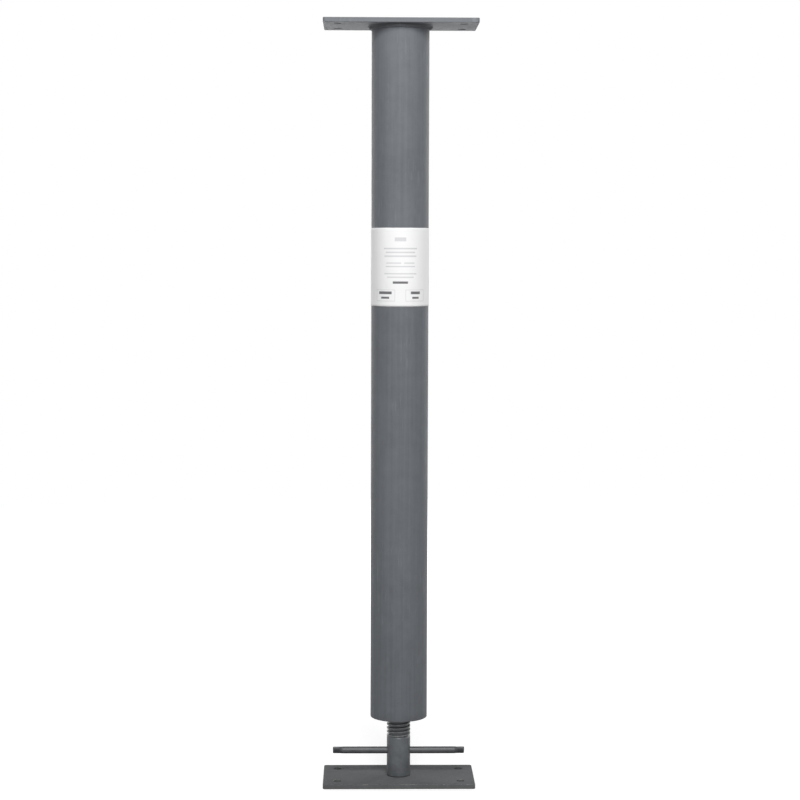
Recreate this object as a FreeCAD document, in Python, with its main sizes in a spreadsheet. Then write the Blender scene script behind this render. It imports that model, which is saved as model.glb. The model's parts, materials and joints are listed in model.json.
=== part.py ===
"""Adjustable steel column: a welded tube and bearing plate on a jack screw with a turning bar.

Frame: millimetres, +Z up, origin at the centre of the base plate's underside,
+X along the plates' long side. The column stands at the height that is pictured.
"""

import FreeCAD, Part
import os
import Sketcher
from FreeCAD import Placement, Rotation, Vector

# Driving dimensions: alias, value in millimetres, meaning
SIZES = [
    ("tube_diameter", 76.2, "outside diameter of the column tube"),
    ("tube_wall", 3.05, "wall of the column tube, 11 gauge"),
    ("tube_length", 922.3, "cut length of the column tube"),
    ("tube_edge", 0.8, "chamfer on the outer rim of the tube's cut ends"),
    ("plate_length", 203.2, "long side of both bearing plates"),
    ("plate_width", 101.6, "short side of both bearing plates"),
    ("plate_thickness", 6.35, "thickness of both bearing plates"),
    ("plate_corner", 3.0, "corner radius of both bearing plates"),
    ("plate_edge", 0.7, "edge break round both faces of the plates"),
    ("bolt_hole", 11.1, "diameter of the fixing holes in both plates"),
    ("hole_inset", 19.05, "fixing holes from the plates' edges"),
    ("screw_diameter", 31.75, "major diameter of the adjusting screw"),
    ("screw_length", 203.2, "adjusting screw above the base plate"),
    ("screw_exposed", 81.0, "adjusting screw between base plate and tube, as pictured"),
    ("screw_chamfer", 2.5, "lead-in chamfer on the screw's upper end"),
    ("foot_chamfer", 1.2, "chamfer round the screw's bearing shoulder"),
    ("pilot_diameter", 19.05, "spigot that centres the screw on the base plate"),
    ("pilot_length", 5.4, "length of that spigot"),
    ("pilot_clearance", 0.3, "spigot to base plate, on the radius"),
    ("bar_diameter", 9.53, "turning bar"),
    ("bar_length", 177.8, "turning bar from end to end"),
    ("bar_height", 34.0, "axis of the turning bar above the base plate"),
    ("bar_clearance", 0.3, "turning bar to its cross hole, on the radius"),
    ("bar_roll", 42.0, "degrees that the bar's flattened ends lean from level"),
    ("swage_length", 14.0, "flattened end of the turning bar"),
    ("swage_taper", 6.0, "length of that end in which round turns to flat"),
    ("swage_width", 13.0, "width across a flattened end"),
    ("swage_thickness", 6.3, "thickness of a flattened end"),
    ("disc_thickness", 6.35, "end disc that closes the foot of the tube"),
    ("disc_recess", 4.6, "underside of the end disc inside the tube's mouth"),
    ("disc_clearance", 0.1, "end disc to tube, on the radius"),
    ("disc_hole_clearance", 0.8, "adjusting screw to the end disc, on the radius"),
    ("nut_flats", 50.8, "width across the flats of the screw nut"),
    ("nut_height", 31.0, "height of the screw nut"),
    ("nut_chamfer", 3.0, "height of the chamfer on the nut's corners"),
    ("nut_face_inset", 1.25, "rim of the nut's chamfered face inside its flats"),
    ("thread_clearance", 0.1, "adjusting screw to the nut, on the radius"),
    ("top_weld_leg", 5.5, "fillet weld between tube and top plate"),
    ("end_weld_leg", 4.0, "fillet weld between tube and end disc"),
    ("nut_weld_leg", 4.5, "fillet welds between nut and end disc"),
    ("nut_weld_length", 20.0, "length of each of those welds"),
    ("label_height", 103.2, "paper label along the tube"),
    ("label_width", 152.4, "paper label round the tube"),
    ("label_thickness", 0.2, "paper of the label"),
    ("label_glue", 0.25, "glue between the label and the tube"),
    ("label_rise", 554.5, "lower edge of the label above the foot of the tube"),
]

# Places worked out from those dimensions
TUBE_RADIUS = "sizes.tube_diameter / 2"
BORE_RADIUS = "(sizes.tube_diameter / 2 - sizes.tube_wall)"
SCREW_RADIUS = "sizes.screw_diameter / 2"
TUBE_FOOT = "(sizes.plate_thickness + sizes.screw_exposed)"
TUBE_HEAD = f"({TUBE_FOOT} + sizes.tube_length)"
DISC_FOOT = f"({TUBE_FOOT} + sizes.disc_recess)"
DISC_HEAD = f"({DISC_FOOT} + sizes.disc_thickness)"
PILOT_HOLE = "sizes.pilot_diameter / 2 + sizes.pilot_clearance"
BAR_HOLE = "sizes.bar_diameter / 2 + sizes.bar_clearance"

# A weld bead's crown stands this share of a leg away from both of its legs
BEAD_CROWN = 0.62

NUT_SIDES = 6

doc = FreeCAD.newDocument("adjustable_column")
sheet = doc.addObject("Spreadsheet::Sheet", "sizes")
for row, (alias, value, meaning) in enumerate(SIZES, start=1):
    sheet.set(f"A{row}", alias)
    sheet.set(f"B{row}", str(value))
    sheet.set(f"C{row}", meaning)
    sheet.setAlias(f"B{row}", alias)
doc.recompute()


def number(expression):
    """The value of an expression over the sheet, for drawing and picking edges."""
    value = sheet.evalExpression(expression)
    return float(getattr(value, "Value", value))


def new_body(label, height="0"):
    """An empty body, standing at a height over the base plate's underside."""
    body = doc.addObject("PartDesign::Body", label)
    body.Label = label
    body.setExpression("Placement.Base.z", height)
    return body


def datum(body, role):
    return next(f for f in body.Origin.OriginFeatures if f.Role == role)


def new_sketch(body, name, plane):
    sketch = body.newObject("Sketcher::SketchObject", name)
    sketch.AttachmentSupport = [(datum(body, plane), "")]
    sketch.MapMode = "FlatFace"
    return sketch


def bind(sketch, kind, *where, size):
    """A dimension of the sketch, tied to an expression over the sheet."""
    index = sketch.addConstraint(Sketcher.Constraint(kind, *where, number(size)))
    sketch.setExpression(f"Constraints[{index}]", size)


def bind_point(sketch, geometry, end, x, y):
    """Ties both coordinates of a point of the sketch."""
    bind(sketch, "DistanceX", geometry, end, size=x)
    bind(sketch, "DistanceY", geometry, end, size=y)


def draw_outline(sketch, corners):
    """A closed run of straight lines through corners given as pairs of expressions."""
    points = [Vector(number(x), number(y), 0) for x, y in corners]
    lines = []
    for i, start in enumerate(points):
        end = points[(i + 1) % len(points)]
        lines.append(sketch.addGeometry(Part.LineSegment(start, end), False))
    for i, line in enumerate(lines):
        after = lines[(i + 1) % len(lines)]
        sketch.addConstraint(Sketcher.Constraint("Coincident", line, 2, after, 1))
        bind_point(sketch, line, 1, *corners[i])


def draw_circle(sketch, radius, x="0", y="0"):
    centre = Vector(number(x), number(y), 0)
    circle = Part.Circle(centre, Vector(0, 0, 1), number(radius))
    geometry = sketch.addGeometry(circle, False)
    bind_point(sketch, geometry, 3, x, y)
    bind(sketch, "Radius", geometry, size=radius)


def pad(body, sketch, length, midplane=False):
    feature = body.newObject("PartDesign::Pad", "Pad")
    feature.Profile = sketch
    feature.Midplane = midplane
    feature.setExpression("Length", length)
    doc.recompute()
    return feature


def cut_through(body, sketch):
    """Cuts a sketch right through the body, both ways from its plane."""
    feature = body.newObject("PartDesign::Pocket", "Pocket")
    feature.Profile = sketch
    feature.Type = "ThroughAll"
    feature.Midplane = True
    doc.recompute()
    return feature


def revolve(body, sketch, kind="PartDesign::Revolution"):
    """Turns a sketch a full round about its own vertical axis, to add or to cut."""
    feature = body.newObject(kind, "Revolved")
    feature.Profile = sketch
    feature.ReferenceAxis = (sketch, ["V_Axis"])
    feature.Angle = 360
    doc.recompute()
    return feature


def work_edges(body, base, kind, wanted, size):
    """Fillets or chamfers the edges of a feature that wanted picks."""
    names = [f"Edge{i}" for i, edge in enumerate(base.Shape.Edges, start=1) if wanted(edge)]
    feature = body.newObject(f"PartDesign::{kind}", kind)
    feature.Base = (base, names)
    feature.setExpression("Radius" if kind == "Fillet" else "Size", size)
    doc.recompute()
    return feature


def is_upright(edge):
    start, end = edge.Vertexes[0].Point, edge.Vertexes[-1].Point
    return abs(start.x - end.x) + abs(start.y - end.y) < 1e-6 < abs(start.z - end.z)


def column_tube():
    """The cut length of seam-welded tube that carries the load."""
    body = new_body("column_tube", TUBE_FOOT)
    section = new_sketch(body, "TubeSection", "XY_Plane")
    draw_circle(section, TUBE_RADIUS)
    draw_circle(section, BORE_RADIUS)
    wall = pad(body, section, "sizes.tube_length")
    middle = (number(TUBE_RADIUS) + number(BORE_RADIUS)) / 2

    def is_outer_rim(edge):
        return not is_upright(edge) and edge.Curve.Radius > middle

    work_edges(body, wall, "Chamfer", is_outer_rim, "sizes.tube_edge")
    return body


def bearing_plate(label, height, pilot_hole=None):
    """A sheared steel plate with a fixing hole in each corner."""
    body = new_body(label, height)
    outline = new_sketch(body, "PlateOutline", "XY_Plane")
    x, y = "sizes.plate_length / 2", "sizes.plate_width / 2"
    draw_outline(outline, [(f"-{x}", f"-{y}"), (x, f"-{y}"), (x, y), (f"-{x}", y)])
    slab = pad(body, outline, "sizes.plate_thickness")
    slab = work_edges(body, slab, "Fillet", is_upright, "sizes.plate_corner")
    work_edges(body, slab, "Chamfer", lambda edge: not is_upright(edge), "sizes.plate_edge")

    hole = new_sketch(body, "FixingHole", "XY_Plane")
    draw_circle(hole, "sizes.bolt_hole / 2", f"{x} - sizes.hole_inset", f"{y} - sizes.hole_inset")
    drilled = cut_through(body, hole)
    pattern = body.newObject("PartDesign::MultiTransform", "FixingHoles")
    pattern.Originals = [drilled]
    mirrors = []
    for plane in ("YZ_Plane", "XZ_Plane"):
        mirror = body.newObject("PartDesign::Mirrored", "Across")
        mirror.MirrorPlane = (datum(body, plane), [""])
        mirrors.append(mirror)
    pattern.Transformations = mirrors
    body.Tip = pattern
    doc.recompute()
    if pilot_hole:
        centre = new_sketch(body, "PilotHole", "XY_Plane")
        draw_circle(centre, pilot_hole)
        cut_through(body, centre)
    return body


def weld_ring(label, face, corner, leg, out):
    """A fillet weld round the tube, below a face at that height, outside or inside the corner's radius."""
    body = new_body(label, f"{face} - {leg}")
    section = new_sketch(body, "BeadSection", "XZ_Plane")
    toe = f"{corner} {out} {leg}"
    crown = (f"{corner} {out} {BEAD_CROWN} * {leg}", f"{1 - BEAD_CROWN} * {leg}")
    draw_outline(section, [(corner, "0"), crown, (toe, leg), (corner, leg)])
    revolve(body, section)
    return body


def end_disc():
    """The disc that closes the foot of the tube and carries the nut."""
    body = new_body("end_disc", DISC_FOOT)
    section = new_sketch(body, "DiscSection", "XY_Plane")
    draw_circle(section, f"{BORE_RADIUS} - sizes.disc_clearance")
    draw_circle(section, f"{SCREW_RADIUS} + sizes.disc_hole_clearance")
    pad(body, section, "sizes.disc_thickness")
    return body


def screw_nut():
    """The heavy nut inside the tube, with its corners chamfered on top."""
    body = new_body("screw_nut", DISC_HEAD)
    section = new_sketch(body, "NutSection", "XY_Plane")
    corner = "sizes.nut_flats / sqrt(3)"
    turns = [f"{360 * i / NUT_SIDES} deg" for i in range(NUT_SIDES)]
    draw_outline(section, [(f"{corner} * cos({turn})", f"{corner} * sin({turn})") for turn in turns])
    pad(body, section, "sizes.nut_height")

    chamfer = new_sketch(body, "CornerChamfer", "XZ_Plane")
    inner = "(sizes.nut_flats / 2 - sizes.nut_face_inset)"
    outer = f"{inner} + sizes.nut_chamfer * sqrt(3)"
    face, rim = "sizes.nut_height", "sizes.nut_height - sizes.nut_chamfer"
    draw_outline(chamfer, [(inner, face), (outer, rim), (outer, face)])
    revolve(body, chamfer, "PartDesign::Groove")

    bore = new_sketch(body, "NutBore", "XY_Plane")
    draw_circle(bore, f"{SCREW_RADIUS} + sizes.thread_clearance")
    cut_through(body, bore)
    return body


def nut_welds():
    """Fillet welds along every other flat of the nut, down to the end disc."""
    body = new_body("nut_welds", DISC_HEAD)
    section = new_sketch(body, "BeadSection", "YZ_Plane")
    flat, leg = "sizes.nut_flats / 2", "sizes.nut_weld_leg"
    draw_outline(section, [(flat, "0"), (f"{flat} + {leg}", "0"), (flat, leg)])
    bead = pad(body, section, "sizes.nut_weld_length", midplane=True)
    ring = body.newObject("PartDesign::PolarPattern", "EveryOtherFlat")
    ring.Originals = [bead]
    ring.Axis = (datum(body, "Z_Axis"), [""])
    ring.Angle = 360
    ring.Occurrences = NUT_SIDES // 2
    body.Tip = ring
    doc.recompute()
    return body


def adjusting_screw():
    """The jack screw: a turned spigot and shoulder, a cross-drilled head and the threaded length."""
    body = new_body("adjusting_screw", "sizes.plate_thickness - sizes.pilot_length")
    shoulder = "sizes.pilot_length"
    head = f"{shoulder} + sizes.screw_length"
    profile = new_sketch(body, "ScrewProfile", "XZ_Plane")
    draw_outline(
        profile,
        [
            ("0", "0"),
            ("sizes.pilot_diameter / 2", "0"),
            ("sizes.pilot_diameter / 2", shoulder),
            (f"{SCREW_RADIUS} - sizes.foot_chamfer", shoulder),
            (SCREW_RADIUS, f"{shoulder} + sizes.foot_chamfer"),
            (SCREW_RADIUS, f"{head} - sizes.screw_chamfer"),
            (f"{SCREW_RADIUS} - sizes.screw_chamfer", head),
            ("0", head),
        ],
    )
    revolve(body, profile)
    cross_hole = new_sketch(body, "CrossHole", "YZ_Plane")
    draw_circle(cross_hole, BAR_HOLE, "0", f"{shoulder} + sizes.bar_height")
    cut_through(body, cross_hole)
    return body


def turning_bar():
    """A round bar pushed through the screw, its ends flattened so that it stays there."""
    end = "sizes.bar_length / 2"
    round_end = f"({end} - sizes.swage_length)"
    flat_start = f"({round_end} + sizes.swage_taper)"
    across = Rotation(Vector(0, 1, 0), 90)

    def section(kind, name, along, **sizes):
        curve = doc.addObject(kind, name)
        curve.Placement = Placement(Vector(), across)
        curve.setExpression("Placement.Base.x", along)
        for size, expression in sizes.items():
            curve.setExpression(size, expression)
        return curve

    plain = {"Radius": "sizes.bar_diameter / 2"}
    flat = {"MajorRadius": "sizes.swage_width / 2", "MinorRadius": "sizes.swage_thickness / 2"}
    pieces = [section("Part::Cylinder", "BarRod", f"-{round_end}", Height=f"2 * {round_end}", **plain)]
    for side, sign in (("Left", "-"), ("Right", "")):
        swage = doc.addObject("Part::Loft", f"{side}Swage")
        swage.Sections = [
            section("Part::Circle", f"{side}Round", f"{sign}{round_end}", **plain),
            section("Part::Ellipse", f"{side}Flat", f"{sign}{flat_start}", **flat),
            section("Part::Ellipse", f"{side}End", f"{sign}{end}", **flat),
        ]
        swage.Solid = True
        swage.Ruled = True
        pieces.append(swage)
    bar = doc.addObject("Part::MultiFuse", "turning_bar")
    bar.Label = "turning_bar"
    bar.Shapes = pieces
    bar.Placement.Rotation = Rotation(Vector(1, 0, 0), number("sizes.bar_roll"))
    bar.setExpression("Placement.Rotation.Angle", "sizes.bar_roll")
    bar.setExpression("Placement.Base.z", "sizes.plate_thickness + sizes.bar_height")
    return bar


def label():
    """The paper label, wrapped round the front of the tube."""
    sweep = "(sizes.label_width / sizes.tube_diameter * 2 * 180 / pi)"
    back = f"{TUBE_RADIUS} + sizes.label_glue"
    outer = doc.addObject("Part::Cylinder", "LabelFace")
    outer.setExpression("Radius", f"{back} + sizes.label_thickness")
    outer.setExpression("Height", "sizes.label_height")
    outer.setExpression("Angle", sweep)
    inner = doc.addObject("Part::Cylinder", "LabelBack")
    inner.setExpression("Radius", back)
    inner.setExpression("Height", "sizes.label_height")
    paper = doc.addObject("Part::Cut", "label")
    paper.Label = "label"
    paper.Base = outer
    paper.Tool = inner
    turned = f"90 + {sweep} / 2"
    paper.Placement.Rotation = Rotation(Vector(0, 0, -1), number(turned))
    paper.setExpression("Placement.Rotation.Angle", turned)
    paper.setExpression("Placement.Base.z", f"{TUBE_FOOT} + sizes.label_rise")
    return paper


sub_parts = [
    bearing_plate("base_plate", "0", PILOT_HOLE),
    adjusting_screw(),
    turning_bar(),
    column_tube(),
    end_disc(),
    weld_ring("end_weld", DISC_FOOT, BORE_RADIUS, "sizes.end_weld_leg", "-"),
    screw_nut(),
    nut_welds(),
    bearing_plate("top_plate", TUBE_HEAD),
    weld_ring("top_weld", TUBE_HEAD, TUBE_RADIUS, "sizes.top_weld_leg", "+"),
    label(),
]
doc.recompute()

failed = [o.Label for o in doc.Objects if {"Invalid", "Error"} & set(o.State)]
failed += [o.Label for o in sub_parts if o.Shape.isNull() or not o.Shape.isValid() or not o.Shape.Solids]
if failed:
    raise RuntimeError(f"these did not build: {failed}")

os.makedirs("parts", exist_ok=True)
for sub_part in sub_parts:
    sub_part.Shape.exportStep(os.path.join("parts", f"{sub_part.Label}.step"))
    volume = sub_part.Shape.Volume
    print(f"{sub_part.Label:16s} {volume:10.1f} mm3  {sub_part.Shape.optimalBoundingBox()}")
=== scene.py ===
import json
import math

import bmesh
import bpy
import numpy as np
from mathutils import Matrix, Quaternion, Vector


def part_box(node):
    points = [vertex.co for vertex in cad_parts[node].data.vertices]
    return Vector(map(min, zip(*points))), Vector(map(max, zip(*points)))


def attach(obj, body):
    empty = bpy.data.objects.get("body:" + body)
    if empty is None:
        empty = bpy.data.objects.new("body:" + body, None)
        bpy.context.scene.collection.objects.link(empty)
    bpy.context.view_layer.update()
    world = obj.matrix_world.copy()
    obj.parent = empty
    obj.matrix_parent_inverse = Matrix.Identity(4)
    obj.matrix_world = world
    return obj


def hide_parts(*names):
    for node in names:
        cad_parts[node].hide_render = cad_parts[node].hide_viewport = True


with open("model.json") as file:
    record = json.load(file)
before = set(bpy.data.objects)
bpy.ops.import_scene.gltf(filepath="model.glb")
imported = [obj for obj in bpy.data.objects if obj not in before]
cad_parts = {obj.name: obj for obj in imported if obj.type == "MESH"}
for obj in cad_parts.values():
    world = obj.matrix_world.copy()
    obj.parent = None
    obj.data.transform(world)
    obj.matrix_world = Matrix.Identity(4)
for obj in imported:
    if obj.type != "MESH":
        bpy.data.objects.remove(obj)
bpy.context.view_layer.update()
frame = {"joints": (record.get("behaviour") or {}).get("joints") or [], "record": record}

scene = bpy.context.scene


# Base plate: a rectangle sheared from quarter-inch hot-rolled steel, with four punched fixing holes
# and a centre hole in which the screw's spigot turns. It is painted with the column's grey enamel,
# which is worn along its edges, and it stands on the floor.
BASE_LOW, BASE_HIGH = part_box("base_plate")
PLATE_CORNER = 0.0030
PLATE_ROUND = 0.0008
BOLTS = next(mount["dims"] for mount in frame["record"]["mounts"] if mount["kind"] == "bolt_pattern")
BOLT_HOLE = BOLTS["hole_r_mm"] / 1000
BOLT_X, BOLT_Y = BOLTS["spacing_x_mm"] / 2000, BOLTS["spacing_y_mm"] / 2000
PILOT_HOLE = 0.009825
HOLE_ROUND = 0.0004
# Half widths of the square window that a face leaves open round each hole
BOLT_WINDOW = 0.0084
PILOT_WINDOW = 0.0140
# How finely a plate is divided: cells of a face and across a window, shares of the way from a window
# to its hole, steps round an edge and a corner, and rows down a side. Beside each rounded edge runs a
# row of points, the support's width away, so that the flat next to it looks flat.
CELL = 0.008
WINDOW_CELLS = 12
WINDOW_WAYS = np.array([0.0, 0.4, 0.8, 1.0])
ROUND_STEPS = 5
CORNER_STEPS = 10
SIDE_ROWS = 5
SUPPORT = 0.0003
# The angles of a rounded edge, and the lengths within which points are one and edges are nothing
QUARTER = np.linspace(0.0, np.pi / 2, ROUND_STEPS + 1)
SAME_POINT, NO_LENGTH = 1e-6, 1e-7
# Degrees past which edges stay crisp, and the same for threads and welds
CREASE, THREAD_CREASE, WELD_CREASE = 40, 32, 60
# The paint, the steel under it, and the dark colour that scars and painted shade darken the paint
# towards
PLATE_ENAMEL = (0.142, 0.145, 0.148, 1.0)
BARE_STEEL = (0.215, 0.212, 0.205, 1.0)
STAIN_AND_SHADE = (0.075, 0.078, 0.083, 1.0)
SOCKET_KINDS = {"Coordinates": "Vector", "Tool Marks": "Vector", "Colour": "Color"}
SURFACE = ("Colour", "Roughness", "Height")


def quad_grid(rows, columns, wrap=False):
    """Corner numbers of a grid's quads, for points laid row by row: a point, its neighbour in the
    row, and the same two in the row after. wrap joins the last column to the first."""
    number = np.arange(rows * columns).reshape(rows, columns)
    if wrap:
        number = np.column_stack([number, number[:, 0]])
    corners = [number[:-1, :-1], number[:-1, 1:], number[1:, 1:], number[1:, :-1]]
    return np.stack(corners, axis=-1).reshape(-1, 4)


def sheet(x, y, z, wrap=False):
    """A surface from grids of x, y and z, or from the rows and columns that make such grids."""
    grids = np.broadcast_arrays(x, y, z)
    return np.stack(grids, axis=-1).reshape(-1, 3), quad_grid(*grids[0].shape, wrap=wrap)


def join(surfaces):
    """One surface from several: their points in a row, and each one's corner numbers raised by the
    number of points before it."""
    starts = np.cumsum([0] + [len(points) for points, _ in surfaces[:-1]])
    points = np.concatenate([points for points, _ in surfaces])
    quads = np.concatenate([quads + start for (_, quads), start in zip(surfaces, starts)])
    return points, quads


def make_piece(name, surface, crease=CREASE):
    """An object from points and quads. Points within a micron are merged, which closes seams, poles
    and the joins between surfaces, faces are turned outwards, and edges that bend by more than
    crease degrees stay crisp."""
    points, quads = surface
    mesh = bpy.data.meshes.new(name)
    mesh.from_pydata(points.tolist(), [], quads.tolist())
    shape = bmesh.new()
    shape.from_mesh(mesh)
    bmesh.ops.remove_doubles(shape, verts=shape.verts, dist=SAME_POINT)
    bmesh.ops.dissolve_degenerate(shape, edges=shape.edges, dist=NO_LENGTH)
    bmesh.ops.recalc_face_normals(shape, faces=shape.faces)
    shape.to_mesh(mesh)
    shape.free()
    mesh.shade_smooth()
    mesh.set_sharp_from_angle(angle=math.radians(crease))
    piece = bpy.data.objects.new(name, mesh)
    scene.collection.objects.link(piece)
    return piece


def points_of(piece):
    """A piece's points, as rows of x, y and z."""
    points = np.empty(3 * len(piece.data.vertices))
    piece.data.vertices.foreach_get("co", points)
    return points.reshape(-1, 3)


def note_edges(piece, distance):
    """Keeps each point's distance to the nearest edge with the mesh, for the wear along edges."""
    attribute = piece.data.attributes.new("edge", "FLOAT", "POINT")
    attribute.data.foreach_set("value", distance.astype(np.float32))


def ruled_lines(reach, windows):
    """Grid lines from -reach to reach: the same number of cells across each window, which is every
    second span, and cells of about CELL between windows."""
    stops = [-reach, *(edge for window in sorted(windows) for edge in window), reach]
    lines = []
    for i, (start, end) in enumerate(zip(stops, stops[1:])):
        cells = WINDOW_CELLS if i % 2 else max(1, round((end - start) / CELL))
        lines.append(np.linspace(start, end, cells, endpoint=False))
    return np.concatenate([*lines, [reach]])


def edge_section(rounding, low, high, rows=SIDE_ROWS):
    """Section of an edge from the upper face to the lower, as insets from the side and heights: a
    quarter round, so many rows down the straight side, a quarter round."""
    inset, drop = rounding * (1 - np.sin(QUARTER)), rounding * (1 - np.cos(QUARTER))
    side = np.linspace(high - rounding - SUPPORT, low + rounding + SUPPORT, rows)
    insets = np.concatenate([inset, np.zeros(rows), inset[::-1]])
    return insets, np.concatenate([high - drop, side, low + drop[::-1]])


def window_rim(half_x, half_y):
    """Points round a window's four sides, from its lower left corner, and for each the direction in
    which an equal step round a circle lies."""
    step = np.linspace(-1.0, 1.0, WINDOW_CELLS, endpoint=False)
    one = np.ones(WINDOW_CELLS)
    x = np.concatenate([step, one, -step, -one]) * half_x
    y = np.concatenate([-one, step, one, -step]) * half_y
    turn = np.radians(-135.0) + np.arange(4 * WINDOW_CELLS) * (np.pi / 2 / WINDOW_CELLS)
    return np.column_stack([x, y]), np.column_stack([np.cos(turn), np.sin(turn)])


def band(rows, heights):
    """A closed band through rows of points in plan, each row at its own height. The first and last
    heights also serve the rows that lie before and after the given ones."""
    spare = (len(rows) - len(heights)) // 2
    z = np.pad(heights, spare, mode="edge")[:, None]
    return sheet(rows[..., 0], rows[..., 1], z, wrap=True)


def plate_surface(low, high, holes):
    """A plate about the upright axis, with round holes as (x, y, radius, window).

    Each face is a grid with a square window left open round every hole. From the window's rim,
    rows of points slide in straight lines to the hole's circle, and then follow the edge section
    through the plate. Along the outline the same section is carried at a distance from an inner
    rectangle: straight out from its sides, and fanned round its corners."""
    reach = np.array(high[:2]) - PLATE_CORNER
    lines_x = ruled_lines(reach[0], {(x - w, x + w) for x, _, _, w in holes})
    lines_y = ruled_lines(reach[1], {(y - w, y + w) for _, y, _, w in holes})
    x, y = np.meshgrid(lines_x, lines_y)
    flat = np.column_stack([x.ravel(), y.ravel()])
    quads = quad_grid(len(lines_y), len(lines_x))
    middles = flat[quads].mean(axis=1)
    closed = np.ones(len(quads), bool)
    slide = WINDOW_WAYS[:, None, None]
    inset, height = edge_section(HOLE_ROUND, low[2], high[2])
    surfaces = []
    for hole_x, hole_y, radius, window in holes:
        closed &= np.abs(middles - (hole_x, hole_y)).max(axis=1) > window
        rim, way = window_rim(window, window)
        mouth = way * (radius + HOLE_ROUND + SUPPORT)
        face = rim * (1 - slide) + mouth * slide
        rows = np.concatenate([face, way * (radius + inset)[:, None, None], face[::-1]])
        surfaces.append(band(rows + (hole_x, hole_y), height))
    for z in (low[2], high[2]):
        surfaces.append((np.column_stack([flat, np.full(len(flat), z)]), quads[closed]))

    fan = np.linspace(0.0, np.pi / 2, CORNER_STEPS + 1)[1:-1]
    front, right, back, left = (lines_x, -1), (lines_y, 1), (lines_x[::-1], 1), (lines_y[::-1], -1)
    anchors, ways = [], []
    for side, (line, sign) in enumerate((front, right, back, left)):
        fixed = np.full(len(line), sign * reach[1 - side % 2])
        anchors.append(np.column_stack([line, fixed] if side % 2 == 0 else [fixed, line]))
        start = np.radians(90.0 * (side - 1))
        ways.append(np.tile([np.cos(start), np.sin(start)], (len(line), 1)))
        anchors.append(np.tile(anchors[-1][-1], (len(fan), 1)))
        ways.append(np.column_stack([np.cos(start + fan), np.sin(start + fan)]))
    inset, height = edge_section(PLATE_ROUND, low[2], high[2])
    brim = [0.0, PLATE_CORNER - PLATE_ROUND - SUPPORT]
    distance = np.concatenate([brim, PLATE_CORNER - inset, brim[::-1]])
    rows = np.concatenate(anchors) + np.concatenate(ways) * distance[:, None, None]
    surfaces.append(band(rows, height))
    return join(surfaces)


def plate_edges(points, low, high, holes):
    """Distance along the surface to the nearest edge: the larger of the way to the nearest face and
    the way to the outline or the nearest hole, one of which is nothing on any side."""
    past = np.abs(points[:, :2]) - (np.array(high[:2]) - PLATE_CORNER)
    beyond = np.linalg.norm(np.maximum(past, 0), axis=1)
    outline = PLATE_CORNER - beyond - np.minimum(past.max(axis=1), 0)
    for x, y, radius, _ in holes:
        outline = np.minimum(outline, np.linalg.norm(points[:, :2] - (x, y), axis=1) - radius)
    return np.maximum(outline, np.minimum(high[2] - points[:, 2], points[:, 2] - low[2]))


def make_plate(name, low, high, holes):
    """A plate's object, with the distances to its edges noted."""
    plate = make_piece(name, plate_surface(low, high, holes))
    note_edges(plate, plate_edges(points_of(plate), low, high, holes))
    return plate


def add_node(tree, kind, inputs=None, **settings):
    """Adds a shader node, sets its properties, and fills its inputs: a socket is linked in, and
    anything else becomes the input's own value. Gives its outputs."""
    node = tree.nodes.new(f"ShaderNode{kind}")
    for name, value in settings.items():
        setattr(node, name, value)
    for name, value in (inputs or {}).items():
        if isinstance(value, bpy.types.NodeSocket):
            tree.links.new(value, node.inputs[name])
        else:
            node.inputs[name].default_value = value
    return node.outputs


def link(tree, inputs, sockets):
    """Links each socket into the input that it is named for."""
    for name, socket in sockets.items():
        tree.links.new(socket, inputs[name])


def calculate(tree, operation, *values):
    """What a Math node makes of some sockets or numbers."""
    return add_node(tree, "Math", dict(enumerate(values)), operation=operation)[0]


def weighed(tree, total, *parts):
    """A total, with each part times its weight added to it."""
    for part, weight in parts:
        total = calculate(tree, "MULTIPLY_ADD", part, weight, total)
    return total


def ramp(tree, value, start, end, first=0.0, last=1.0):
    """A smooth step from first to last while value goes from start to end."""
    inputs = {"Value": value, "From Min": start, "From Max": end, "To Min": first, "To Max": last}
    return add_node(tree, "MapRange", inputs, interpolation_type="SMOOTHSTEP")[0]


def mix_colour(tree, share, first, second):
    """The first colour, with a share of the second mixed in: a Mix node's sockets 6 and 7."""
    inputs = {0: share, 6: first, 7: second}
    return add_node(tree, "Mix", inputs, data_type="RGBA")[2]


def shade(tree, colour, tone):
    """A colour times a tone."""
    inputs = {0: colour, "Scale": tone}
    return add_node(tree, "VectorMath", inputs, operation="SCALE")[0]


def noise(tree, where, cells, detail):
    """Noise of so many cells to the metre, or of so many along each axis."""
    if isinstance(cells, tuple):
        where = add_node(tree, "Mapping", {"Vector": where, "Scale": cells})[0]
        cells = 1.0
    inputs = {"Vector": where, "Scale": cells, "Detail": detail}
    return add_node(tree, "TexNoise", inputs)["Fac"]


def new_group(name, inputs, outputs):
    """A shader node group with named sockets, of the kinds listed or else plain numbers: its tree,
    what comes in, and what goes out."""
    group = bpy.data.node_groups.new(name, "ShaderNodeTree")
    for way, titles in (("INPUT", inputs), ("OUTPUT", outputs)):
        for title in titles:
            kind = SOCKET_KINDS.get(title, "Float")
            group.interface.new_socket(title, in_out=way, socket_type=f"NodeSocket{kind}")
    return group, group.nodes.new("NodeGroupInput").outputs, group.nodes.new("NodeGroupOutput").inputs


def place(tree, group, inputs):
    """Places a group in a tree, and gives what it puts out."""
    return add_node(tree, "Group", inputs, node_tree=group)


def new_finish(name):
    """A new material, its node tree, its shader, and the piece's own coordinates."""
    material = bpy.data.materials.new(name)
    material.use_nodes = True
    tree = material.node_tree
    where = add_node(tree, "TexCoord")["Object"]
    return material, tree, tree.nodes["Principled BSDF"], where


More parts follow.
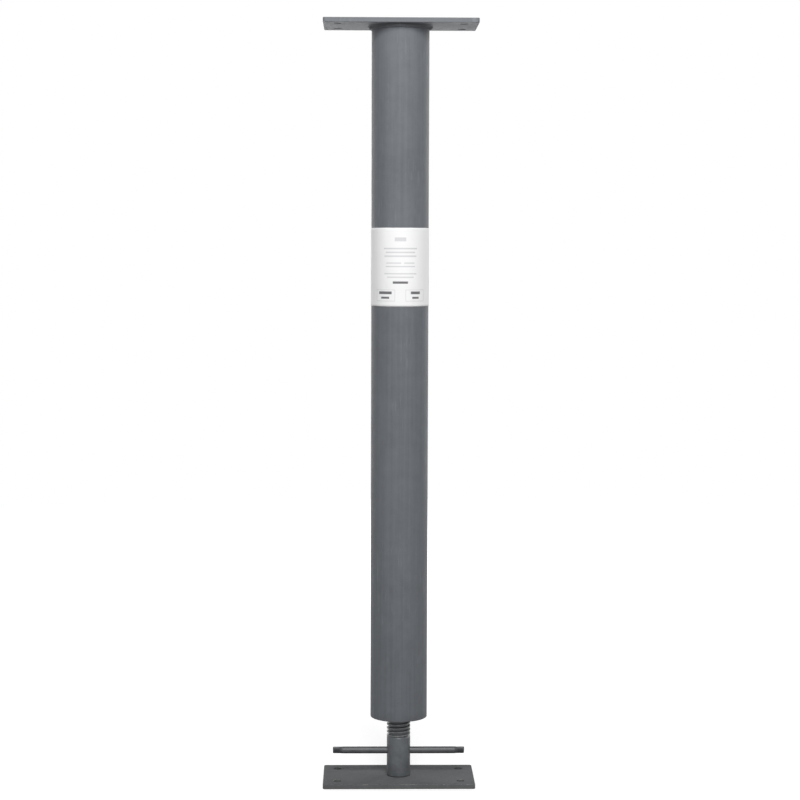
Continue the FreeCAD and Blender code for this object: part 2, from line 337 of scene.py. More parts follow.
def dress(tree, shader, colour, rough, height, relief, gloss):
    """Links colour, roughness and a bump as high as the relief into the shader, and sets its gloss."""
    bump = add_node(tree, "Bump", {"Height": height, "Distance": relief})[0]
    link(tree, shader.inputs, {"Base Color": colour, "Roughness": rough, "Normal": bump})
    shader.inputs["Specular IOR Level"].default_value = gloss


# The enamel's film: soft clouds and mottles of tone, runs down the piece, patches where handling has
# rubbed it paler and smoother in strokes, grit under the paint and orange peel, each of so many
# cells of noise to the metre, or to the metre along each axis
CLOUD_CELLS, MOTTLE_CELLS = 16.0, 95.0
RUN_CELLS, FINE_RUN_CELLS = (210.0, 210.0, 3.5), (620.0, 620.0, 9.0)
PATCH_CELLS, STROKE_CELLS = 21.0, (420.0, 420.0, 45.0)
GRIT_CELLS, PEEL_CELLS = 1300.0, 520.0
MEAN_RUN = 0.75
# Between which values of its noise each of these comes up, and the tone and roughness that parts are
# added to, each with its weight
PATCH_RAMP, STROKE_RAMP, GRIT_RAMP = (0.48, 0.66), (0.54, 0.68), (0.66, 0.76)
FILM_TONE, FILM_ROUGH = 0.73, 0.46
film, given, made = new_group("enamel_film", ("Coordinates", "Colour", "Runs"), SURFACE)
where = given["Coordinates"]
cloud = noise(film, where, CLOUD_CELLS, 3.0)
mottle = noise(film, where, MOTTLE_CELLS, 3.0)
runs = noise(film, where, RUN_CELLS, 3.0)
runs = weighed(film, runs, (noise(film, where, FINE_RUN_CELLS, 2.0), 0.5))
runs = calculate(film, "SUBTRACT", runs, MEAN_RUN)
runs = calculate(film, "MULTIPLY", runs, given["Runs"])
patch = ramp(film, noise(film, where, PATCH_CELLS, 2.0), *PATCH_RAMP)
stroke = ramp(film, noise(film, where, STROKE_CELLS, 3.0), *STROKE_RAMP)
rub = calculate(film, "MULTIPLY", stroke, patch)
grit = ramp(film, noise(film, where, GRIT_CELLS, 1.0), *GRIT_RAMP)
peel = noise(film, where, PEEL_CELLS, 2.0)
tone = weighed(film, FILM_TONE, (cloud, 0.34), (mottle, 0.18), (rub, 0.16), (runs, 0.55), (grit, -0.16))
rough = weighed(film, FILM_ROUGH, (cloud, 0.22), (rub, -0.12), (runs, 0.2))
height = weighed(film, peel, (grit, 0.8), (runs, 0.9))
colour = shade(film, given["Colour"], tone)
link(film, made, {"Colour": colour, "Roughness": rough, "Height": height})

# Wear along edges: paint is gone within a reach of the edge that comes and goes along it, in patches
# and chips of so many cells to the metre
WEAR_CELLS, CHIP_CELLS = 55.0, 480.0
WEAR_RIM = 0.0001
WEAR_START = -0.95
wear, given, made = new_group("worn_edge", ("Coordinates", "Distance", "Reach"), ("Bare",))
patches = noise(wear, given["Coordinates"], WEAR_CELLS, 3.0)
chips = noise(wear, given["Coordinates"], CHIP_CELLS, 2.0)
wander = weighed(wear, WEAR_START, (chips, 0.9), (patches, 1.4))
wander = calculate(wear, "MAXIMUM", wander, 0.0)
reach = calculate(wear, "MULTIPLY", wander, given["Reach"])
inside = calculate(wear, "SUBTRACT", reach, given["Distance"])
link(wear, made, {"Bare": ramp(wear, inside, 0.0, WEAR_RIM)})


def edge_distance(tree):
    """The distance to the nearest edge that note_edges kept with the piece."""
    return add_node(tree, "Attribute", attribute_name="edge")["Fac"]


# The film's relief, and what a worn edge and a scar change: depth in parts of that relief, roughness,
# metal, and the share of stain
PEEL_RELIEF = 0.00006
WORN_DEPTH, WORN_ROUGH, WORN_METAL = -1.5, -0.12, 0.4
SCAR_DEPTH, SCAR_STAIN = -2.0, 0.5


def enamelled(name, colour, runs, reach, gloss, peel=PEEL_RELIEF, scar=None, painted_shade=None):
    """Matt enamel over steel: the film's colour, with bare steel where the edges are worn. scar is a
    function that returns where a scar in the steel shows through as a darker, lower mark, and the
    last argument one that returns how far painted shade darkens the paint."""
    material, tree, shader, where = new_finish(name)
    coat = place(tree, film, {"Coordinates": where, "Colour": colour, "Runs": runs})
    edge = {"Coordinates": where, "Distance": edge_distance(tree), "Reach": reach}
    bare = place(tree, wear, edge)["Bare"]
    paint, height = coat["Colour"], weighed(tree, coat["Height"], (bare, WORN_DEPTH))
    if scar:
        mark = scar(tree, where)
        paint = mix_colour(tree, calculate(tree, "MULTIPLY", mark, SCAR_STAIN), paint, STAIN_AND_SHADE)
        height = weighed(tree, height, (mark, SCAR_DEPTH))
    # Painted shade: where the shade function says so, the paint is darkened towards the stain colour
    if painted_shade:
        paint = mix_colour(tree, painted_shade(tree, where), paint, STAIN_AND_SHADE)
    colour = mix_colour(tree, bare, paint, BARE_STEEL)
    rough = weighed(tree, coat["Roughness"], (bare, WORN_ROUGH))
    link(tree, shader.inputs, {"Metallic": calculate(tree, "MULTIPLY", bare, WORN_METAL)})
    dress(tree, shader, colour, rough, height, peel, gloss)
    return material


def finish_piece(piece, node, body, material):
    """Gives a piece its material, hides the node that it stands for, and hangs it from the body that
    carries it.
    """
    piece.data.materials.append(material)
    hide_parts(node)
    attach(piece, body)


bolt_holes = [(x, y, BOLT_HOLE, BOLT_WINDOW) for x in (-BOLT_X, BOLT_X) for y in (-BOLT_Y, BOLT_Y)]
base_holes = bolt_holes + [(0.0, 0.0, PILOT_HOLE, PILOT_WINDOW)]
base_plate = make_plate("floor_plate", BASE_LOW, BASE_HIGH, base_holes)
plate_paint = enamelled("plate_enamel", PLATE_ENAMEL, runs=0.35, reach=0.0012, gloss=0.0)
finish_piece(base_plate, "base_plate", "base", plate_paint)


# Adjusting screw: turned from round steel bar, with a spigot that stands in the base plate, a plain
# head with a cross hole for the turning bar, and a coarse trapezoidal right-hand thread above it.
# It is bare dark steel with an oily skin, a little brighter where the thread's crests run.
SCREW_LOW, SCREW_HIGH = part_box("adjusting_screw")
SCREW_RADIUS = SCREW_HIGH.x
SCREW_COLUMNS = 96
SPIGOT_RADIUS = 0.009525
SPIGOT_CHAMFER = 0.0006
SHOULDER = BASE_HIGH.z
SHOULDER_CHAMFER = 0.0012
CROSS_HOLE = 0.005065
CROSS_HOLE_Z = sum(corner.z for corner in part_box("turning_bar")) / 2
CROSS_HOLE_ROUND = 0.0006
CROSS_WINDOW = 0.0070
CROSS_WINDOW_COLUMNS = 6
CROSS_WINDOW_WAYS = np.array([0.0, 0.35, 0.7, 0.92, 1.0])
ROWS_BELOW, ROWS_ABOVE = 4, 3
LOWEST_LIFT = next(joint["range_m"][0] for joint in frame["joints"] if joint["name"] == "column_lift")
NUT_LOW, NUT_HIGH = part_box("screw_nut")
THREAD_SPARE = 0.0014
THREAD_START = NUT_LOW.z + LOWEST_LIFT - THREAD_SPARE
THREAD_PITCH = 2 * math.pi / abs(frame["record"]["behaviour"]["couplings"][0]["ratio"])
THREAD_DEPTH = 0.00245
THREAD_CHAMFER = 0.0025
RUN_OUT = 0.0040
# One turn of the thread's section, as shares of the pitch and of the depth: crest, flank, root, flank
THREAD_SECTION = np.array([
    (0.000, 0.0), (0.160, 0.0), (0.182, 0.02), (0.196, 0.07),
    (0.310, 0.93), (0.326, 0.985), (0.348, 1.0), (0.500, 1.0),
    (0.652, 1.0), (0.674, 0.985), (0.690, 0.93),
    (0.804, 0.07), (0.818, 0.02), (0.840, 0.0),
])
DARK_STEEL = (0.134, 0.143, 0.151, 1.0)
RUBBED_STEEL = (0.26, 0.262, 0.265, 1.0)
CREST_BAND, CREST_RIM = 0.0003, 0.00005
RUBBED_CELLS, RUBBED_RAMP = 300.0, (0.40, 0.62, 0.3, 0.8)
RUBBED_ROUGH = -0.1
SCREW_MARKS = (30.0, 30.0, 2600.0)
TOOL_RELIEF = 0.00005
OIL_GLOSS = 0.15


def around(radius, angle, height, wrap=False):
    """A surface about the upright axis, from grids of radius, angle and height."""
    return sheet(radius * np.cos(angle), radius * np.sin(angle), height, wrap)


def turned(profile, columns):
    """A profile of (radius, height) carried round the upright axis, with a column at each of so many
    equal angles."""
    radius, height = np.array(profile).T[..., None]
    return around(radius, np.arange(columns) * (2 * np.pi / columns), height, wrap=True)


def screw_head():
    """The plain head: a cylinder of columns and rows with a window left open at both ends of the
    cross hole. From a window's rim, rows of points slide to the hole's mouth with their depth taken
    from the cylinder (the root of radius squared less y squared), turn in over a quarter round, and
    run through to the far side."""
    window_low, window_high = CROSS_HOLE_Z - CROSS_WINDOW, CROSS_HOLE_Z + CROSS_WINDOW
    rows = np.concatenate([
        np.linspace(SHOULDER + SHOULDER_CHAMFER, window_low, ROWS_BELOW + 1)[:-1],
        np.linspace(window_low, window_high, WINDOW_CELLS + 1),
        np.linspace(window_high, THREAD_START, ROWS_ABOVE + 1)[1:],
    ])
    points, quads = turned(np.column_stack([np.full(len(rows), SCREW_RADIUS), rows]), SCREW_COLUMNS)
    half_turn = 2 * np.pi / SCREW_COLUMNS * CROSS_WINDOW_COLUMNS
    half_width = SCREW_RADIUS * np.sin(half_turn)
    away = np.abs(points[quads].mean(axis=1) - (0.0, 0.0, CROSS_HOLE_Z))
    in_window = (away[:, 1] < half_width) & (away[:, 2] < CROSS_WINDOW)
    shell = (points, quads[~in_window])

    rim, way = window_rim(half_turn, CROSS_WINDOW)
    rim[:, 0] = SCREW_RADIUS * np.sin(rim[:, 0])
    mouth = way * (CROSS_HOLE + CROSS_HOLE_ROUND)
    slide = CROSS_WINDOW_WAYS[:, None, None]
    face = rim * (1 - slide) + mouth * slide
    turn = QUARTER[1:, None]
    throat = way * (CROSS_HOLE + CROSS_HOLE_ROUND * (1 - np.sin(turn)))[..., None]
    mouth_x = np.sqrt(SCREW_RADIUS**2 - mouth[:, 0] ** 2)
    face_x = np.sqrt(SCREW_RADIUS**2 - face[..., 0] ** 2)
    throat_x = mouth_x - CROSS_HOLE_ROUND * (1 - np.cos(turn))
    half = np.concatenate([face, throat])
    half_x = np.concatenate([face_x, throat_x])
    x = np.concatenate([half_x, np.zeros((1, len(way))), -half_x[::-1]])
    yz = np.concatenate([half, half[-1:], half[::-1]]) + (0.0, CROSS_HOLE_Z)
    return join([shell, sheet(x, yz[..., 0], yz[..., 1], wrap=True)])


def thread_helix(low, high):
    """The thread between two heights. A row of points is one corner of the thread's section, followed
    round its helix for a turn: its height is the pitch times the turns so far, the corner's share of
    a pitch and the angle's share of a turn, added up. Heights are held between the two ends, so that
    the rows past them fall together into a ring. Gives the rows' depths, the angles and the heights."""
    first = math.floor((low - THREAD_START) / THREAD_PITCH) - 1
    turns = np.arange(first, math.ceil((high - THREAD_START) / THREAD_PITCH) + 1)
    corner = (turns[:, None] + THREAD_SECTION[:, 0]).ravel()[:, None]
    depth = np.tile(THREAD_SECTION[:, 1], len(turns))[:, None] * THREAD_DEPTH
    angle = np.linspace(0.0, 2 * np.pi, SCREW_COLUMNS + 1)
    height = THREAD_START + THREAD_PITCH * (corner + angle / (2 * np.pi))
    return depth, angle, np.clip(height, low, high)


def screw_thread(top):
    """The threaded length, on the thread's helix: the radius is the screw's less the corner's depth,
    which fades out at the run-out, under the cone of the lead-in chamfer."""
    depth, angle, height = thread_helix(THREAD_START, top)
    fade = np.clip((height - THREAD_START) / RUN_OUT, 0.0, 1.0)
    radius = SCREW_RADIUS - depth * fade * fade * (3 - 2 * fade)
    radius = np.minimum(radius, SCREW_RADIUS - np.maximum(height - top + THREAD_CHAMFER, 0.0))
    return around(radius, angle, height)


screw_foot = turned([
    (0.0, SCREW_LOW.z),
    (SPIGOT_RADIUS - SPIGOT_CHAMFER, SCREW_LOW.z),
    (SPIGOT_RADIUS, SCREW_LOW.z + SPIGOT_CHAMFER),
    (SPIGOT_RADIUS, SHOULDER),
    (SCREW_RADIUS - SHOULDER_CHAMFER, SHOULDER),
    (SCREW_RADIUS, SHOULDER + SHOULDER_CHAMFER),
], SCREW_COLUMNS)
screw_end = turned([(SCREW_RADIUS - THREAD_CHAMFER, SCREW_HIGH.z), (0.0, SCREW_HIGH.z)], SCREW_COLUMNS)
screw_parts = [screw_foot, screw_head(), screw_thread(SCREW_HIGH.z), screw_end]
screw = make_piece("jack_screw", join(screw_parts), crease=THREAD_CREASE)

# The oily skin: clouds of blue-black and grey, smears, and fine tool marks round the turned surface
SKIN_CELLS, SMEAR_CELLS = 70.0, 260.0
SKIN_TONE, SKIN_ROUGH = 0.5, 0.24
skin, given, made = new_group("oiled_skin", ("Coordinates", "Colour", "Tool Marks"), SURFACE)
cloud = noise(skin, given["Coordinates"], SKIN_CELLS, 4.0)
smear = noise(skin, given["Coordinates"], SMEAR_CELLS, 3.0)
marks = noise(skin, given["Tool Marks"], 1.0, 3.0)
colour = shade(skin, given["Colour"], weighed(skin, SKIN_TONE, (cloud, 0.7), (smear, 0.3)))
rough = weighed(skin, SKIN_ROUGH, (cloud, 0.25), (marks, 0.1))
height = weighed(skin, marks, (smear, 0.6))
link(skin, made, {"Colour": colour, "Roughness": rough, "Height": height})


def oiled_steel(name, colour, metal, marks, rubbed=None):
    """Dark steel with an oily skin. metal is how far it shines as metal does, marks gives the tool
    marks' cells to the metre along each axis, and rubbed is a function that returns the share of skin
    rubbed off."""
    material, tree, shader, where = new_finish(name)
    tool = add_node(tree, "Mapping", {"Vector": where, "Scale": marks})[0]
    oily = place(tree, skin, {"Coordinates": where, "Colour": colour, "Tool Marks": tool})
    colour, rough = oily["Colour"], oily["Roughness"]
    if rubbed:
        share = rubbed(tree, where)
        colour = mix_colour(tree, share, colour, RUBBED_STEEL)
        rough = weighed(tree, rough, (share, RUBBED_ROUGH))
    shader.inputs["Metallic"].default_value = metal
    dress(tree, shader, colour, rough, oily["Height"], TOOL_RELIEF, OIL_GLOSS)
    return material


def axis_and_height(tree, where):
    """A point's distance from the upright axis, the length of its x and y, and its height."""
    x, y, z = add_node(tree, "SeparateXYZ", {0: where})
    flat = add_node(tree, "CombineXYZ", {0: x, 1: y})[0]
    return add_node(tree, "VectorMath", {0: flat}, operation="LENGTH")["Value"], z


def rubbed_crests(tree, where):
    """Where the nut has run: near the crests' radius above the thread's start, in broken patches."""
    radius, height = axis_and_height(tree, where)
    crest = ramp(tree, radius, SCREW_RADIUS - CREST_BAND, SCREW_RADIUS - CREST_RIM)
    above = ramp(tree, height, THREAD_START, THREAD_START + RUN_OUT)
    broken = ramp(tree, noise(tree, where, RUBBED_CELLS, 3.0), *RUBBED_RAMP)
    return calculate(tree, "MULTIPLY", calculate(tree, "MULTIPLY", crest, above), broken)


screw_steel = oiled_steel("screw_steel", DARK_STEEL, metal=0.25, marks=SCREW_MARKS, rubbed=rubbed_crests)
finish_piece(screw, "adjusting_screw", "screw", screw_steel)


# Turning bar: a length of round steel bar pushed through the screw's cross hole by hand, both ends
# then hammered flat in a die so that it can slide but not fall out. It is the same dark steel.
BAR_PLAY = 0.0003
BAR_RADIUS = CROSS_HOLE - BAR_PLAY
BAR_SWAGE = 0.0140
BAR_TAPER = 0.0060
SWAGE_WIDTH, SWAGE_THICKNESS = 0.0130, 0.0063
SWAGE_ROUND = 0.0012
BAR_ROLL = math.radians(42.0)
BAR_COLUMNS = 48
BAR_ROWS, SWAGE_ROWS, BAR_END_ROWS = 11, 24, 9
BAR_STEEL = (0.106, 0.110, 0.115, 1.0)
BAR_MARKS = (14.0, 900.0, 900.0)


def bar_surface(reach):
    """An ellipse carried along X, to the reach both ways. Its half width and half thickness go from the
    bar's radius to the flattened end's by a smooth step over the taper, and shrink by a quarter round
    at each end, whose last ring closes to a point."""
    flat = reach - SWAGE_ROUND
    turn = np.linspace(0.0, np.pi / 2, BAR_END_ROWS)
    end = np.concatenate([flat + SWAGE_ROUND * np.sin(turn), [reach]])
    shrink = np.concatenate([SWAGE_ROUND * (1 - np.cos(turn)), [SWAGE_WIDTH]])
    swage = np.linspace(reach - BAR_SWAGE, flat, SWAGE_ROWS + 1)[:-1]
    along = np.concatenate([np.linspace(0.0, reach - BAR_SWAGE, BAR_ROWS + 1)[:-1], swage, end])
    inset = np.concatenate([np.zeros(len(along) - len(end)), shrink])
    along, inset = np.concatenate([-along[:0:-1], along]), np.concatenate([inset[:0:-1], inset])
    step = np.clip((np.abs(along) - reach + BAR_SWAGE) / BAR_TAPER, 0.0, 1.0)
    step = step * step * (3 - 2 * step)
    width = np.maximum(BAR_RADIUS + (SWAGE_WIDTH / 2 - BAR_RADIUS) * step - inset, 0.0)
    thickness = np.maximum(BAR_RADIUS + (SWAGE_THICKNESS / 2 - BAR_RADIUS) * step - inset, 0.0)
    angle = np.arange(BAR_COLUMNS) * (2 * np.pi / BAR_COLUMNS)
    wide = width[:, None] * np.cos(angle)
    thick = thickness[:, None] * np.sin(angle)
    y = thick * math.cos(BAR_ROLL) - wide * math.sin(BAR_ROLL)
    z = thick * math.sin(BAR_ROLL) + wide * math.cos(BAR_ROLL) + CROSS_HOLE_Z
    return sheet(along[:, None], y, z, wrap=True)


bar = make_piece("turn_bar", bar_surface(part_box("turning_bar")[1].x))
bar_steel = oiled_steel("bar_steel", BAR_STEEL, metal=0.25, marks=BAR_MARKS)
finish_piece(bar, "turning_bar", "bar", bar_steel)


# Column tube: three-inch round steel tube of 11 gauge, its welded seam planed flat down the back,
# saw-cut to length and flow-coated with grey enamel, which has dried in faint runs. Both ends are
# darkened with painted shade, at the foot and under the plate on its head.
TUBE_LOW, TUBE_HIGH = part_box("column_tube")
TUBE_RADIUS = TUBE_HIGH.x
TUBE_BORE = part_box("end_weld")[1].x
TUBE_ROUND = 0.0008
TUBE_COLUMNS = 160
WALL_ROWS, BORE_ROWS = 40, 12
SEAM_HALF, SEAM_EDGE = 0.0026, 0.0005
CHATTER_CELLS, CHATTER_RAMP = (60.0, 60.0, 420.0), (0.35, 0.65, 0.25, 0.75)
# Painted shade at both ends: cells of its noise to the metre, what they add to the distance, the
# distance at which it ends and that within which it is whole, then its share
TUBE_PAINTED_SHADE = (60.0, 0.014, 0.022, 0.004, 0.175)
ENAMEL = (0.150, 0.160, 0.174, 1.0)


def tube_surface(low, high):
    """A closed section turned about the axis: the foot's saw cut, the outer wall with its rounded ends,
    the head's cut and the bore back down. It is cut off behind the plane in which it is as wide as the
    seam: at the root of radius squared less half the seam squared."""
    inset, wall = edge_section(TUBE_ROUND, low, high, WALL_ROWS)
    cut = TUBE_RADIUS - TUBE_ROUND - SUPPORT
    radius = [[cut], TUBE_RADIUS - inset, [cut], np.full(BORE_ROWS, TUBE_BORE), [cut]]
    height = [[low], wall[::-1], [high], np.linspace(high, low, BORE_ROWS), [low]]
    profile = np.column_stack([np.concatenate(radius), np.concatenate(height)])
    points, quads = turned(profile, TUBE_COLUMNS)
    points[:, 1] = np.minimum(points[:, 1], math.sqrt(TUBE_RADIUS**2 - SEAM_HALF**2))
    return points, quads


def tube_seam(tree, where):
    """The seam's planed strip down the back, crisp at both edges and with chatter marks across it."""
    x, y, _ = add_node(tree, "SeparateXYZ", {0: where})
    away = calculate(tree, "ABSOLUTE", x)
    back = calculate(tree, "GREATER_THAN", y, 0.0)
    from_edge = calculate(tree, "ABSOLUTE", calculate(tree, "SUBTRACT", away, SEAM_HALF))
    edge = ramp(tree, from_edge, SEAM_EDGE, 0.0)
    strip = ramp(tree, away, SEAM_HALF, SEAM_HALF - SEAM_EDGE)
    chatter = ramp(tree, noise(tree, where, CHATTER_CELLS, 2.0), *CHATTER_RAMP)
    inner = calculate(tree, "MULTIPLY", strip, chatter)
    return calculate(tree, "MULTIPLY", calculate(tree, "MAXIMUM", edge, inner), back)


def painted_shade_fade(tree, where, distance, painted_shade):
    """Painted shade: a darkening that fades with the distance, to which noise adds its drift."""
    cells, drift, end, whole, share = painted_shade
    drifted = weighed(tree, distance, (noise(tree, where, cells, 3.0), drift))
    return ramp(tree, drifted, end, whole, 0.0, share)


def tube_painted_shade(tree, where):
    """Painted shade at both ends of the tube."""
    return painted_shade_fade(tree, where, edge_distance(tree), TUBE_PAINTED_SHADE)


tube = make_piece("post_tube", tube_surface(TUBE_LOW.z, TUBE_HIGH.z))
heights = points_of(tube)[:, 2]
note_edges(tube, np.minimum(heights - TUBE_LOW.z, TUBE_HIGH.z - heights))
tube_paint = enamelled(
    "tube_enamel", ENAMEL, runs=0.55, reach=0.0010, gloss=0.10, scar=tube_seam, painted_shade=tube_painted_shade
)
finish_piece(tube, "column_tube", "column", tube_paint)


# End disc: a disc flame-cut from quarter-inch plate that closes the foot of the tube, with a hole
# for the screw. It sits a little inside the tube's mouth and is painted with the tube.
DISC_LOW, DISC_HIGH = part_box("end_disc")
DISC_RADIUS = DISC_HIGH.x
DISC_PLAY = 0.0008
DISC_HOLE = SCREW_RADIUS + DISC_PLAY
DISC_ROUND = 0.0004
DISC_COLUMNS = 128

insets, disc_heights = edge_section(DISC_ROUND, DISC_LOW.z, DISC_HIGH.z)
disc_profile = np.concatenate([
    np.column_stack([DISC_RADIUS - insets, disc_heights]),
    np.column_stack([DISC_HOLE + insets, disc_heights])[::-1],
    [(DISC_RADIUS - insets[0], disc_heights[0])],
])
disc = make_piece("tube_end_disc", turned(disc_profile, DISC_COLUMNS))
from_axis = np.linalg.norm(points_of(disc)[:, :2], axis=1)
note_edges(disc, np.maximum(np.minimum(from_axis - DISC_HOLE, DISC_RADIUS - from_axis), 0.0))
disc_paint = enamelled("disc_enamel", PLATE_ENAMEL, runs=0.0, reach=0.0006, gloss=0.1)
finish_piece(disc, "end_disc", "column", disc_paint)


# End weld: a fillet of weld metal run round the corner between the end disc and the tube's bore, in
# one pass with two restarts. It is painted over with the tube.
END_RIPPLES = 84
END_RESTARTS = (1.1, 4.0)
BEAD_FILL, BEAD_CROWN = 0.91, 0.62
BEAD_ROWS = 13
RIPPLE_COLUMNS = 8
RIPPLE_LIFT = 0.12
RIPPLE_BOW, RIPPLE_CREST = 0.55, 0.8
# Shares of the leg by which a bead swells, with the waves round it and their start, and at a restart
SWELLS = ((0.03, 3, 0.7), (0.025, 7, 2.1))
RESTART_SWELL, RESTART_REACH = 0.09, 0.07
OUTSIDE, INSIDE = 1, -1
WELD_ENAMEL = (0.135, 0.142, 0.152, 1.0)
WELD_RELIEF = 0.00012


def bead_section(waves, share, leg):
    """A bead's section as two distances from its root, along either leg. Its face runs from one leg's
    toe to the other's over the crown, as a parabola through the three, and share is how much of the
    leg it fills. Each ripple is a wave along the bead, bowed by the square of the way across it. The
    root and the first toe close the section."""
    across = np.linspace(0.0, 1.0, BEAD_ROWS)[:, None]
    ripple = np.abs(np.sin(np.pi * (waves + RIPPLE_BOW * (2 * across - 1) ** 2))) ** RIPPLE_CREST - 0.5
    bow = across * (1 - across)
    size = leg * (share + 4 * RIPPLE_LIFT * ripple * bow)
    crown = (4 * BEAD_CROWN - 2) * bow
    faces = (np.minimum(size * (way + crown), leg) for way in (across, 1 - across))
    return [np.concatenate([face, 0 * face[:1], face[:1]]) for face in faces]


def weld_ring(corner, low, high, side, ripples, restarts):
    """A bead carried round the upright axis at a corner's radius, outside or inside it, and as deep as
    its box. Two slow waves make it swell and shrink, and so does a bell at every restart."""
    columns = ripples * RIPPLE_COLUMNS
    angle = np.arange(columns) * (2 * np.pi / columns)
    swell = sum(share * np.sin(waves * angle + start) for share, waves, start in SWELLS)
    for restart in restarts:
        away = np.abs((angle - restart + np.pi) % (2 * np.pi) - np.pi)
        swell = swell + RESTART_SWELL * np.exp(-((away / RESTART_REACH) ** 2))
    sideways, down = bead_section(ripples * angle / (2 * np.pi), BEAD_FILL + swell, high.z - low.z)
    return around(corner + side * sideways, angle, high.z - down, wrap=True)


end_bead = weld_ring(TUBE_BORE, *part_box("end_weld"), INSIDE, END_RIPPLES, END_RESTARTS)
end_weld = make_piece("disc_weld", end_bead, crease=WELD_CREASE)
weld_paint = enamelled("weld_enamel", WELD_ENAMEL, runs=0.0, reach=0.0, gloss=0.1, peel=WELD_RELIEF)
finish_piece(end_weld, "end_weld", "column", weld_paint)


# Screw nut: a heavy hexagon nut that stands on the end disc inside the tube, tapped with the screw's
# thread and countersunk at both mouths. Its upper corners are turned off, and it is left bare.
NUT_FLAT = NUT_HIGH.y
NUT_TURNED = 0.00125
NUT_FACE = NUT_FLAT - NUT_TURNED
NUT_ROUND = 0.0004
NUT_PLAY = 0.0001
NUT_SINK = 0.0004
NUT_MOUTH = SCREW_RADIUS + NUT_SINK
NUT_ROWS = 8
NUT_MARKS = (40.0, 40.0, 700.0)


def nut_outside():
    """The hexagon: round the axis, the radius is half the flats over the cosine of the angle from the
    flat's middle. Rows climb it from the foot to the cone of the turned corners, which falls by one
    for each root of three outwards, and then climb the cone to the rim of the upper face."""
    angle = np.linspace(0.0, 2 * np.pi, SCREW_COLUMNS + 1)
    hexagon = NUT_FLAT / np.cos(angle % (np.pi / 3) - np.pi / 6)
    bend = NUT_HIGH.z - (hexagon - NUT_FACE) / math.sqrt(3)
    foot = NUT_LOW.z + NUT_ROUND
    rise = np.linspace(0.0, 1.0, NUT_ROWS + 1)[:, None]
    wall = foot + rise * (bend - foot)
    cone_r = hexagon + rise[1:] * (NUT_FACE - hexagon)
    cone_z = bend + rise[1:] * (NUT_HIGH.z - bend)
    one = np.ones((1, len(angle)))
    radius = [NUT_MOUTH * one, hexagon - NUT_ROUND * one, hexagon + 0 * wall, cone_r, NUT_MOUTH * one]
    height = [NUT_LOW.z * one, NUT_LOW.z * one, wall, cone_z, NUT_HIGH.z * one]
    return around(np.concatenate(radius), angle, np.concatenate(height))


def nut_thread():
    """The tapped bore, on the screw's own helix: the radius is the screw's at each corner and a little
    play, or the countersink's cone at either mouth where that is wider."""
    depth, angle, height = thread_helix(NUT_LOW.z, NUT_HIGH.z)
    sink = NUT_MOUTH - np.minimum(height - NUT_LOW.z, NUT_HIGH.z - height)
    return around(np.maximum(SCREW_RADIUS + NUT_PLAY - depth, sink), angle, height)


nut = make_piece("lift_nut", join([nut_outside(), nut_thread()]), crease=THREAD_CREASE)
nut_steel = oiled_steel("nut_steel", DARK_STEEL, metal=0.5, marks=NUT_MARKS)
finish_piece(nut, "screw_nut", "column", nut_steel)


# Nut welds: a short fillet weld along every other flat of the nut, down to the end disc. They are
# inside the tube, so the paint doesn't reach them.
NUT_BEAD_TURNS = np.radians([90.0, 210.0, 330.0])
NUT_BEAD_HALF = 0.010
NUT_BEAD_RIPPLES = 13


def weld_run(turn, leg):
    """A bead carried along a flat of the nut: out from the flat by one of its section's distances and
    up from the disc by the other. Both shrink to nothing over a quarter ellipse at either end."""
    along = np.linspace(-NUT_BEAD_HALF, NUT_BEAD_HALF, NUT_BEAD_RIPPLES * RIPPLE_COLUMNS + 1)
    past = np.clip((np.abs(along) - NUT_BEAD_HALF + leg) / leg, 0.0, 1.0)
    waves = NUT_BEAD_RIPPLES * along / (2 * NUT_BEAD_HALF)
    sideways, up = (part * np.sqrt(1 - past**2) for part in bead_section(waves, BEAD_FILL, leg))
    out = NUT_FLAT + sideways
    x = out * math.cos(turn) - along * math.sin(turn)
    y = out * math.sin(turn) + along * math.cos(turn)
    return sheet(x, y, NUT_LOW.z + up)


nut_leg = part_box("nut_welds")[1].z - NUT_LOW.z
nut_runs = join([weld_run(turn, nut_leg) for turn in NUT_BEAD_TURNS])
nut_beads = make_piece("nut_beads", nut_runs, crease=WELD_CREASE)
finish_piece(nut_beads, "nut_welds", "column", nut_steel)


# Top plate: the same sheared and punched rectangle as the base plate, without the centre hole,
# welded square across the head of the tube and painted with it. Its underside is darkened round the
# tube with painted shade.
HEAD_LOW, HEAD_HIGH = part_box("top_plate")
# Painted shade on the underside round the tube: cells, drift, end, whole and share, as at the tube's
# ends
HEAD_PAINTED_SHADE = (45.0, 0.025, 0.095, 0.050, 0.4)


def head_painted_shade(tree, where):
    """Painted shade round the weld, by the distance from the axis, on the underside only."""
    radius, height = axis_and_height(tree, where)
    under = calculate(tree, "LESS_THAN", height, HEAD_LOW.z + PLATE_ROUND)
    return calculate(tree, "MULTIPLY", painted_shade_fade(tree, where, radius, HEAD_PAINTED_SHADE), under)


top_plate = make_plate("bearing_plate", HEAD_LOW, HEAD_HIGH, bolt_holes)
head_paint = enamelled("head_enamel", ENAMEL, runs=0.35, reach=0.0012, gloss=0.25, painted_shade=head_painted_shade)
finish_piece(top_plate, "top_plate", "column", head_paint)


# Top weld: a fillet weld all round the corner between the tube and the top plate, with three
# restarts. It is painted over with them.
TOP_RIPPLES = 104
TOP_RESTARTS = (0.6, 2.9, 4.9)

top_bead = weld_ring(TUBE_RADIUS, *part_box("top_weld"), OUTSIDE, TOP_RIPPLES, TOP_RESTARTS)
top_weld = make_piece("plate_weld", top_bead, crease=WELD_CREASE)
finish_piece(top_weld, "top_weld", "column", weld_paint)


